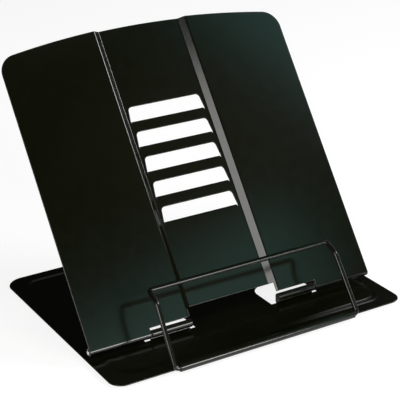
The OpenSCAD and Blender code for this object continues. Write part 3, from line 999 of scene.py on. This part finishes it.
def add_lamp(name, right, up, distance, width, height, watts, tint, target):
    """Soft box that faces the target from a bearing, a height and a distance."""
    data = bpy.data.lights.new(name, "AREA")
    data.shape = "RECTANGLE"
    data.size, data.size_y = width, height
    data.energy = watts
    data.color = tint
    made = bpy.data.objects.new(name, data)
    a, e = math.radians(right), math.radians(up)
    towards = Vector((math.sin(a) * math.cos(e), -math.cos(a) * math.cos(e), math.sin(e)))
    made.location = target + distance * towards
    made.rotation_euler = (-towards).to_track_quat("-Z", "Y").to_euler()
    made.visible_camera = False
    bpy.context.scene.collection.objects.link(made)


def studio_floor(stage):
    """Floor and wall: a pale matt surface that also shows white to the camera and in reflections.

    Both its colour and its glow darken with the distance from the stand, as a painted falloff of the
    studio's light.
    """
    material, output, tree, add = new_material("studio_floor")
    path = add("LightPath").outputs
    seen = combine(add, "ADD", path["Is Camera Ray"], path["Is Glossy Ray"])
    seen_through = combine(add, "ADD", seen, path["Is Transmission Ray"], clamp=True)
    distance = add("VectorMath", {"operation": "LENGTH"}, Vector=add("TexCoord").outputs["Object"])
    # Painted falloff of light: 0 near the stand and 1 far away, where the floor and wall are darkened
    painted_falloff = add("MapRange", {"interpolation_type": "SMOOTHSTEP"}, Value=distance.outputs["Value"],
               From_Min=stage.fade_start, From_Max=stage.fade_end, To_Min=0, To_Max=1).outputs["Result"]
    glow = span(add, painted_falloff, 0, 1, stage.floor_glow, stage.floor_glow * stage.floor_far)
    strength = combine(add, "MULTIPLY", seen_through, glow)
    far_painted_shade = tuple(stage.floor_far * part for part in stage.floor)
    shade = add("BsdfDiffuse", Color=mix(add, painted_falloff, (*stage.floor, 1), (*far_painted_shade, 1)))
    light = add("Emission", Strength=strength)
    both = add("AddShader")
    tree.links.new(shade.outputs[0], both.inputs[0])
    tree.links.new(light.outputs[0], both.inputs[1])
    tree.links.new(both.outputs[0], output.inputs["Surface"])
    return material


class BuildStage(bpy.types.Operator):
    """Set up the floor, the light and the camera"""

    bl_idname = "bookstand.build_stage"
    bl_label = "Stage"

    def execute(self, context):
        """Makes the floor with its wall, the lamps, the world and the camera."""
        settings = context.scene.book_stand
        scene = context.scene
        stage = settings.stage
        cove_middle = (stage.floor_radius - stage.cove_radius, stage.cove_radius)
        cove = circle_arc(cove_middle, stage.cove_radius, -90, 0, COVE_STEPS)
        profile = np.concatenate(([[FLOOR_START, 0]], cove, [[stage.floor_radius, stage.wall_height]]))
        points, faces = turned(profile, (0, 0, -FLOOR_DROP), FLOOR_SIDES)
        faces = [face[::-1] for face in faces[:-1]]
        add_mesh("studio_floor", points, faces, studio_floor(stage))

        target = Vector(LAMP_TARGET)
        for lamp in LAMPS:
            add_lamp(*lamp, target)
        world = bpy.data.worlds.new("studio_world")
        world.use_nodes = True
        background = world.node_tree.nodes["Background"]
        background.inputs["Color"].default_value = WORLD_COLOUR
        background.inputs["Strength"].default_value = 1
        scene.world = world

        yaw, pitch, roll = stage.camera_yaw, stage.camera_pitch, stage.camera_roll
        ahead = Vector((-math.sin(yaw) * math.cos(pitch), math.cos(yaw) * math.cos(pitch), math.sin(pitch)))
        level = ahead.cross(Vector((0, 0, 1))).normalized()
        down = ahead.cross(level)
        right = level * math.cos(roll) + down * math.sin(roll)
        lower = down * math.cos(roll) - level * math.sin(roll)
        data = bpy.data.cameras.new("camera")
        data.lens = stage.lens
        data.sensor_width = SENSOR_WIDTH
        camera = bpy.data.objects.new("camera", data)
        turn = Matrix((right, -lower, -ahead)).transposed().to_4x4()
        camera.matrix_world = Matrix.Translation(Vector(stage.camera_place)) @ turn
        scene.collection.objects.link(camera)
        scene.camera = camera
        scene.view_settings.view_transform = "Standard"
        return {"FINISHED"}


class BookStandPanel(bpy.types.Panel):
    """Sidebar panel with the settings and the steps of the book stand"""

    bl_idname = "VIEW3D_PT_book_stand"
    bl_label = "Book stand"
    bl_space_type = "VIEW_3D"
    bl_region_type = "UI"
    bl_category = "Book stand"

    def draw(self, context):
        """Lists each group of settings, and then the operators."""
        settings = context.scene.book_stand
        for name in ("sheet", "base", "plate", "wire", "foot", "finish", "stage"):
            box = self.layout.box()
            box.label(text=name.capitalize())
            group = getattr(settings, name)
            for key in group.__annotations__:
                box.prop(group, key)
        for operator in OPERATORS:
            self.layout.operator(operator.bl_idname)


GROUPS = (
    BookStandSheet, BookStandBase, BookStandPlate, BookStandWire, BookStandFoot, BookStandFinish,
    BookStandStage, BookStandSettings,
)
OPERATORS = (BuildBase, BuildPlate, BuildPageHolder, BuildSupportBail, BuildPins, BuildFeet, BuildStage)
CLASSES = (*GROUPS, *OPERATORS, BookStandPanel)


def register():
    """Registers the classes and puts the settings on the scene."""
    for made in CLASSES:
        bpy.utils.register_class(made)
    bpy.types.Scene.book_stand = PointerProperty(type=BookStandSettings)


def unregister():
    """Takes the settings off the scene and removes the classes."""
    del bpy.types.Scene.book_stand
    for made in reversed(CLASSES):
        bpy.utils.unregister_class(made)


def main():
    """Builds every piece and the stage."""
    register()
    bpy.ops.bookstand.build_base()
    bpy.ops.bookstand.build_plate()
    bpy.ops.bookstand.build_page_holder()
    bpy.ops.bookstand.build_support_bail()
    bpy.ops.bookstand.build_pins()
    bpy.ops.bookstand.build_feet()
    bpy.ops.bookstand.build_stage()


if __name__ == "__main__":
    main()
